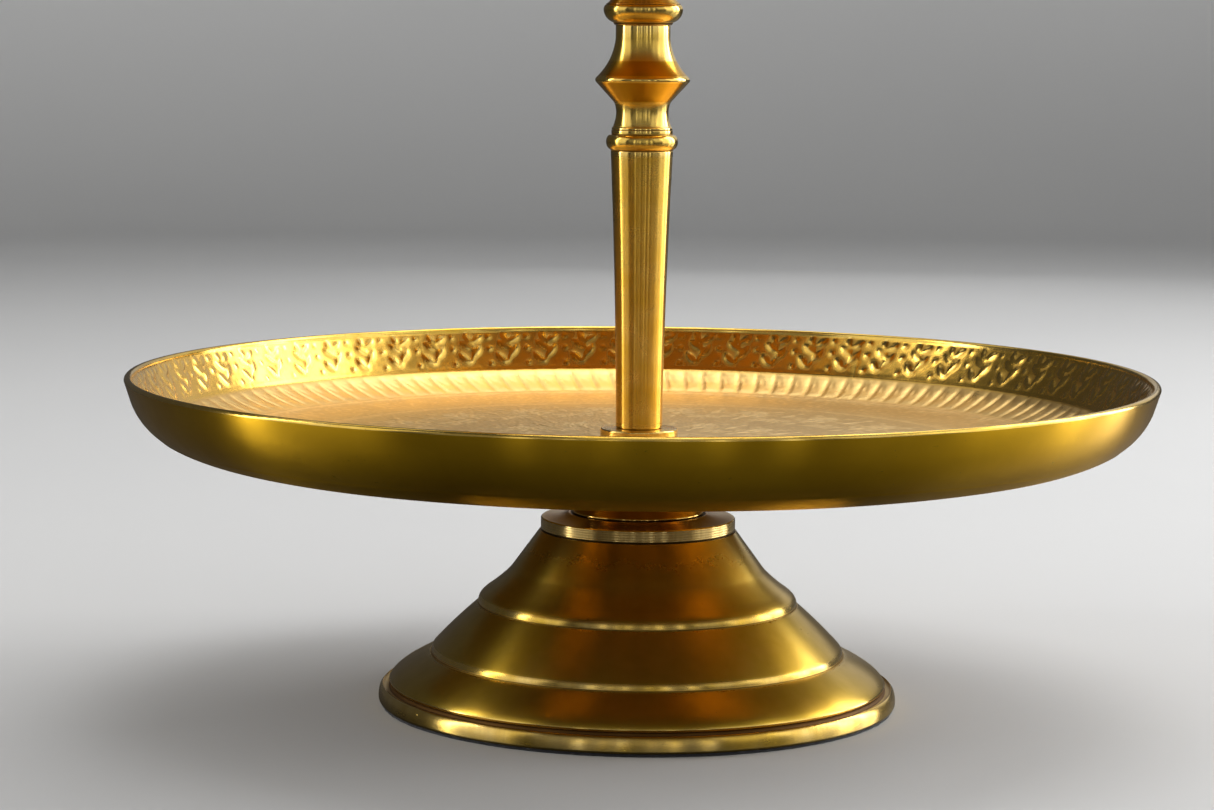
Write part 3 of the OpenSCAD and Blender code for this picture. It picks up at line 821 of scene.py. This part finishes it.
def foliage(theta, s, scale, count, inner, outer):
    """Flowers among scrolling leaves on the tray's floor, chased low into the metal."""
    middle = (inner + outer) / 2
    u, v = cell(theta, count) * s / scale, (s - middle) / scale
    out = dome(u, v, (0, 5.5), 1.5, 0.22)
    for k in range(7):
        a = 2 * math.pi * k / 7
        at = (3.3 * math.cos(a), 5.5 + 3.3 * math.sin(a))
        out = np.maximum(out, leaf(u, v, at, math.degrees(a), 3.9, 2.5, 0.24))
    for side in (-1, 1):
        out = np.maximum(out, curl(u, v, (side * 7.0, -4.0), 6.2, 0.4, 0.2, 0 if side < 0 else 60, 120))
        for y, tilt, size in ((-2.2, 35, 4.6), (-7.0, -30, 4.8), (-11.5, 24, 4.2), (11.0, 42, 4.6)):
            at = (side * (4.2 + 0.18 * abs(y)), y)
            out = np.maximum(out, leaf(u, v, at, side * tilt, size, 2.0, 0.22))
    out = np.maximum(out, leaf(u, v, (0, -4.2), 90, 6.4, 2.6, 0.24))
    out = np.maximum(out, leaf(u, v, (0, -11.5), 90, 5.2, 2.2, 0.22))
    far_u = cell(theta, count, 0.5) * s / scale
    out = np.maximum(out, dome(far_u, v, (0, -8.6), 1.4, 0.2))
    for k in range(5):
        a = math.radians(90 + 72 * k)
        at = (2.6 * math.cos(a), -8.6 + 2.6 * math.sin(a))
        out = np.maximum(out, leaf(far_u, v, at, math.degrees(a), 3.0, 1.9, 0.2))
    out = np.maximum(out, leaf(far_u, v, (0, 4.0), 90, 9.5, 2.6, 0.24))
    out = np.maximum(out, leaf(far_u, v, (0, 12.0), 90, 4.2, 2.0, 0.22))
    fade = np.clip((s - inner) / 0.8, 0, 1) * np.clip((outer - s) / 0.8, 0, 1)
    return out * fade


def sunburst(theta, s, count, inner, outer):
    """A ring of long petals round the middle of the tray."""
    u = cell(theta, count) * s
    v = s - (inner + outer) / 2
    return leaf(u, v, (0, 0), 90, outer - inner, 2.5 * math.pi * (inner + outer) / count / 2.6, 0.15)


def inner_path(rim, height, sheet, floor_r, hole, fine):
    """The tray's inside from the hole to the lip: radius, height and normal, at even steps."""
    belly = np.array(bend((rim - 36.4, 0), (rim - 19.4, 0.4), (rim - 10.3, height - 17.6), 60))
    along = np.gradient(belly, axis=0)
    along /= np.linalg.norm(along, axis=1)[:, None]
    belly = belly + sheet * np.stack([-along[:, 1], along[:, 0]], 1)
    wall = bend((rim - 9.2, height - 13.9), (rim - 5.0, height - 6.9), (rim - 2.3, height - 1.4), 60)
    floor = [(r, sheet) for r in np.arange(hole, floor_r, fine)]
    path = np.concatenate([floor, belly, wall])
    run = np.concatenate([[0], np.cumsum(np.linalg.norm(np.diff(path, axis=0), axis=1))])
    s = np.arange(0, run[-1], fine)
    pts = np.stack([np.interp(s, run, path[:, 0]), np.interp(s, run, path[:, 1])], 1)
    along = np.gradient(pts, axis=0)
    along /= np.linalg.norm(along, axis=1)[:, None]
    for _ in range(6):
        along = (along + np.roll(along, 1, 0) + np.roll(along, -1, 0)) / 3
        along[0] = along[1] = (1, 0)
        along[-1] = along[-2]
    along /= np.linalg.norm(along, axis=1)[:, None]
    return pts, np.stack([-along[:, 1], along[:, 0]], 1), s + hole


def blurred(field, times=1):
    for _ in range(times):
        field = (np.roll(field, 1, 1) + 2 * field + np.roll(field, -1, 1)) / 4
        field[1:-1] = (field[:-2] + 2 * field[1:-1] + field[2:]) / 4
    return field


def ripple(theta, across, size, rng):
    """Soft unevenness left by spinning and hand finishing, in millimetres."""
    out = np.zeros(np.broadcast(theta, across).shape)
    for waves in (2, 3, 5, 7, 11, 16):
        a, b, c = rng.uniform(0, 2 * math.pi, 3)
        out = out + np.sin(waves * theta + a) * np.sin(across / (26 + waves) * 2 + b) / waves**0.7
        out = out + 0.5 * np.sin((waves + 9) * theta + c) * np.cos(across / 17 + a) / waves
    return out * size


def tray(node, cols, fine, seed, foliage_bands, sunburst_count):
    """A spun tray with an embossed inside, a rounded lip and a plain satin outside."""
    rim, z0 = radius(node), low_z(node)
    rim += 0.1
    height, sheet, hole = high_z(node) - z0, 2.2, BORE
    floor_r = rim - 38.0
    rng = np.random.default_rng(seed)
    pts, normal, s = inner_path(rim, height, sheet, floor_r, hole, fine)
    theta = np.linspace(0, 2 * math.pi, cols, endpoint=False)[None, :]
    r, sc = pts[:, :1], s[:, None]
    wall = floor_r + 1.5
    ring_r = rim - 5.0
    wall_count = round(2 * math.pi * ring_r / 13.2)
    pattern = np.zeros((len(s), cols))
    lobes = cushions(theta, sc, r, wall + 14.5, wall + 28.4, wall_count * 2)
    twigs = sprigs(theta, sc, r, wall + 36.4, wall_count)
    lines = highest(
        ridge(sc, wall + 29.6, 0.4, 0.1),
        ridge(sc, wall + 12.6, 0.45, 0.12),
        ridge(sc, wall - 9.5, 0.45, 0.12),
        ridge(sc, wall - 11.2, 0.45, 0.12),
        ridge(sc, 31.6, 0.45, 0.12),
        ridge(sc, 14.2, 0.5, 0.15),
    ) * np.ones_like(theta)
    pattern = highest(pattern, lobes, twigs, lines)
    for count, scale, inner, outer in foliage_bands:
        pattern = highest(pattern, foliage(theta, sc, scale, count, inner, outer))
    pattern = highest(pattern, sunburst(theta, sc, sunburst_count, 15.2, 30.4))
    matt = 0.15 + 0.45 * np.clip((wall + 29 - sc) / 1.5, 0, 1) + 0.4 * np.clip((wall + 15 - sc) / 1.5, 0, 1)
    etched = matt * np.clip((sc - 14) / 1.0, 0, 1) * np.ones_like(theta)
    stipple = blurred(rng.normal(0, 1, pattern.shape))
    quiet = np.clip(1 - pattern / 0.08, 0, 1)
    raised = blurred(pattern) + stipple * (etched * (0.03 + 0.05 * quiet) + 0.006)
    raised *= np.clip((len(s) - 1 - np.arange(len(s)))[:, None] / 4, 0, 1)
    unevenness = ripple(theta, sc, 0.05, rng)
    push = raised + unevenness * np.clip((sc - 12) / 20, 0, 1)
    inside_r = r + normal[:, :1] * push
    inside_z = pts[:, 1:] + normal[:, 1:] * push
    lip = sheet / 2
    around = arc((rim - 0.1 - lip, height - lip), lip, 176, 4, 16)
    outside = (
        [(rim - 0.1, height - 1.1)]
        + bend((rim - 2, height - 7.1), (rim - 4.2, height - 13.2), (rim - 9.9, height - 17.2), 26)
        + bend((rim - 10.3, height - 17.6), (rim - 19.4, 0.4), (rim - 36.4, 0), 30)
        + [(x, 0.0) for x in np.linspace(rim - 40, hole + 2, 14)]
        + [(hole, 0.0)]
    )
    rest = np.array(around + outside)
    rest_run = np.cumsum(np.linalg.norm(np.diff(rest, axis=0, prepend=rest[:1]), axis=1))[:, None]
    free = np.clip((rest[:, :1] - 30) / 20, 0, 1)
    bulge = ripple(theta, rest_run, 0.045, rng) * free
    rest_dir = np.gradient(rest, axis=0)
    rest_dir /= np.maximum(np.linalg.norm(rest_dir, axis=1)[:, None], 1e-9)
    out_n = np.stack([-rest_dir[:, 1], rest_dir[:, 0]], 1)
    rest_r = rest[:, :1] + out_n[:, :1] * bulge * (rest[:, 1:] < height - 1.5)
    rest_z = rest[:, 1:] + out_n[:, 1:] * bulge * (rest[:, 1:] > 0.01)
    rr, zz = np.concatenate([inside_r, rest_r]), np.concatenate([inside_z, rest_z]) + z0
    verts = np.stack([rr * np.cos(theta), rr * np.sin(theta), zz], -1)
    rows = len(verts)
    slots = np.zeros((rows, cols), int)
    lip_end = len(s) + len(around)
    slots[len(s) - 1:lip_end] = 1
    slots[lip_end:] = 2
    quads = ring_quads(rows, cols)[:, ::-1]
    obj = mesh_from(node + "_embossed", verts.reshape(-1, 3) * MM, quads, slots.ravel(), smooth_angle=0)
    still = np.zeros((len(rest), cols))
    # relief tells the finish where the etched ground lies low, which it darkens as painted shade.
    add_values(obj, "relief", np.concatenate([np.clip(raised / 0.16, 0, 1) + (1 - etched), still + 1]))
    add_values(obj, "etched", np.concatenate([etched, still]))
    # The relief's slope paints shade around the embossing, and highlight with wear on its tops.
    slope = pattern - blurred(pattern, 6)
    add_values(obj, "shade_and_wear", np.concatenate([np.clip(slope * 5, -1, 1), still]))
    for finish in (TRAY_IN, POLISHED, TRAY_OUT):
        obj.data.materials.append(finish)
    return obj


# ---- The stand ---------------------------------------------------------------------------------

fine = 1.0
# Bands of foliage: how many, scale, inner and outer radius
lower_bands = ((22, 1.0, 66, 102.5), (16, 0.84, 33.5, 64))
upper_bands = ((11, 0.62, 33.5, 50.5),)
settle(tray("lower_tray", int(1596 / fine), 0.55 * fine, 11, lower_bands, 24), "lower_tray")
settle(tray("upper_tray", int(936 / fine), 0.55 * fine, 12, upper_bands, 24), "upper_tray")

settle(pedestal_foot(), "pedestal_foot")
settle(pedestal_collar(), "pedestal_collar")
settle(pedestal_neck(), "pedestal_neck")
settle(clamp_flange("column_flange", True), "column_flange")
settle(column_shaft(), "column_shaft")
settle(column_ring(), "column_ring")
settle(column_knop(), "column_knop")
settle(column_bead(), "column_bead")
settle(column_neck(), "column_neck")
settle(upper_seat(), "upper_seat")
settle(clamp_flange("upper_flange", False), "upper_flange")
settle(flat_washer("handle_washer", 3.05, POLISHED), "handle_washer")
settle(handle_stem(), "handle_stem")
settle(handle_ring(), "handle_ring")
settle(flat_washer("base_washer", 3.2, STEEL), "base_washer")
for washer in ("lower_seat_washer", "lower_clamp_washer", "upper_seat_washer", "upper_clamp_washer"):
    settle(flat_washer(washer, BORE, FIBRE), washer)
settle(tie_rod(), "tie_rod")
settle(base_felt(), "base_felt")

for kept in ("base_nut", "base_spring_washer"):
    obj = frame["nodes"][kept]
    obj.data.materials.clear()
    obj.data.materials.append(STEEL)
    edge = obj.modifiers.new("eased_edges", "BEVEL")
    edge.width, edge.segments, edge.limit_method = 0.12 * MM, 2, "ANGLE"

# ---- Floor, light and camera -------------------------------------------------------------------

# Sizes in metres
MIDDLE_R = 0.0001
FLOOR_R, WALL_BEND, WALL_TOP = 2.2, 1.0, 6.0
TABLE_R, TABLE_Z = 7.0, -0.002


def wide_round(name, path, material):
    """A floor turned round the axis from (radius, height) points. It isn't part of the object."""
    cols = 96
    t = np.linspace(0, 2 * math.pi, cols, endpoint=False)
    corners = np.array([(r * math.cos(a), r * math.sin(a), z) for r, z in path for a in t])
    flat = mesh_from(name, corners, ring_quads(len(path), cols, closed_rows=False), smooth_angle=0)
    flat.data.materials.append(material)
    flat.visible_shadow = False
    return flat


def plain_floor():
    """A pale floor that curves up into a wall all round. The brass mirrors a dark table top instead."""
    n = Nodes("pale_floor")
    place = n.add("TexCoord").outputs["Object"]
    pale = n.mix(n.noise(place, 3, 2.0), rgb(0.56, 0.56, 0.56), rgb(0.59, 0.59, 0.585))
    height = n.add("SeparateXYZ", i0=place).outputs[2]
    # Painted light: the wall is painted paler than the floor, so it looks lit where the lamps reach it
    # weakly.
    wall = n.span(height, 0.0, 0.25)
    n.put(n.shader.inputs["Base Color"], n.mix(wall, pale, rgb(0.9, 0.9, 0.895)))
    n.shader.inputs["Roughness"].default_value = 0.8
    wall_bend = [(FLOOR_R + r, z) for r, z in arc((0, WALL_BEND), WALL_BEND, -90, 0, 24)]
    path = [(MIDDLE_R, 0), (FLOOR_R / 2, 0)] + wall_bend + [(FLOOR_R + WALL_BEND, WALL_TOP)]
    floor = wide_round("floor", path, n.material)
    floor.visible_glossy = False
    n = Nodes("dark_table")
    place = n.add("TexCoord").outputs["Object"]
    dark = n.mix(n.noise(place, 30, 3.0), rgb(0.065, 0.065, 0.065), rgb(0.08, 0.08, 0.08))
    n.put(n.shader.inputs["Base Color"], dark)
    n.shader.inputs["Roughness"].default_value = 0.22
    table = wide_round("dark_table", [(MIDDLE_R, TABLE_Z), (TABLE_R, TABLE_Z)], n.material)
    table.visible_camera = False
    table.visible_diffuse = False


STUDIO_R = 1.6
STUDIO_CENTRE = Vector((0, 0, 0.14))
# Name, bearing from the front towards the right, height above the level, width and tallness, all in
# degrees, and radiance
SOFT_BOXES = (
    ("right_window", 100, 19, 64, 48, 1.4),
    ("right_pane", 104, 20, 12, 48, 4.0),
    ("right_far_pane", 122, 22, 14, 48, 5.6),
    ("back_right", 152, 25, 30, 40, 0.6),
    ("right_room", 56, 25, 32, 40, 0.7),
    ("left_window", -72, 20, 40, 50, 0.9),
    ("left_pane", -89, 17, 7, 42, 7.0),
    ("front_room", -3, 21, 84, 44, 0.17),
    ("ceiling", 150, 80, 56, 40, 2.6),
    ("ceiling_back", 162, 54, 64, 24, 1.8),
    ("ceiling_front", 14, 58, 64, 28, 0.6),
    ("ceiling_right", 100, 54, 40, 24, 0.7),
    ("ceiling_left", -135, 54, 50, 24, 0.7),
    ("back_window", 176, 21, 20, 44, 0.35),
)
# Narrow upright lights in front, all at one height: bearing, width and radiance
SLIT_HEIGHT, SLIT_TALL = 8, 28
SLITS = ((-24, 4, 1.2), (-14, 2, 0.9), (-6, 3, 1.0), (7, 2, 0.9), (16, 4, 1.2), (31, 4, 1.2))


def soft_box(name, bearing, height, wide, tall, radiance):
    """A rectangular soft light that faces the stand from that direction."""
    a, e = math.radians(bearing), math.radians(height)
    towards = Vector((math.cos(e) * math.sin(a), -math.cos(e) * math.cos(a), math.sin(e)))
    at = STUDIO_CENTRE + STUDIO_R * towards
    light = bpy.data.lights.new(name, "AREA")
    light.shape = "RECTANGLE"
    light.size = 2 * STUDIO_R * math.tan(math.radians(wide / 2)) * max(math.cos(e), 0.5)
    light.size_y = 2 * STUDIO_R * math.tan(math.radians(tall / 2))
    light.energy = radiance * math.pi * light.size * light.size_y
    lamp = bpy.data.objects.new(name, light)
    lamp.location = at
    lamp.rotation_mode = "QUATERNION"
    lamp.rotation_quaternion = (STUDIO_CENTRE - at).to_track_quat("-Z", "Y")
    lamp.visible_camera = False
    bpy.context.scene.collection.objects.link(lamp)


def lights():
    for box in SOFT_BOXES:
        soft_box(*box)
    for bearing, wide, radiance in SLITS:
        soft_box("slit", bearing, SLIT_HEIGHT, wide, SLIT_TALL, radiance)
    world = bpy.data.worlds.new("studio")
    bpy.context.scene.world = world
    world.use_nodes = True
    back = world.node_tree.nodes["Background"]
    back.inputs["Color"].default_value = (0.06, 0.06, 0.062, 1)
    back.inputs["Strength"].default_value = 1.0


CAMERA_AT = Vector((0, -0.9644, 0.2018))
CAMERA_PITCH, CAMERA_YAW, CAMERA_ROLL = math.radians(6.655), math.radians(-2.286), math.radians(0.35)


def camera():
    """The photograph's view: a long lens just above the lower tray, leaning by a fraction of a degree."""
    data = bpy.data.cameras.new("camera")
    data.sensor_width = 36.0
    data.lens = 96.67
    data.clip_start, data.clip_end = 0.05, 50
    data.shift_x = 0.08
    pitch, yaw, roll = CAMERA_PITCH, CAMERA_YAW, CAMERA_ROLL
    ahead = Vector((math.sin(yaw) * math.cos(pitch), math.cos(yaw) * math.cos(pitch), -math.sin(pitch)))
    level = ahead.cross(Vector((0, 0, 1))).normalized()
    above = level.cross(ahead)
    right = math.cos(roll) * level + math.sin(roll) * above
    up = math.cos(roll) * above - math.sin(roll) * level
    cam = bpy.data.objects.new("camera", data)
    turned = Matrix((right, up, -ahead)).transposed().to_4x4()
    cam.matrix_world = Matrix.Translation(CAMERA_AT) @ turned
    bpy.context.scene.collection.objects.link(cam)
    bpy.context.scene.camera = cam


plain_floor()
lights()
camera()
bpy.context.scene.view_settings.view_transform = "Standard"
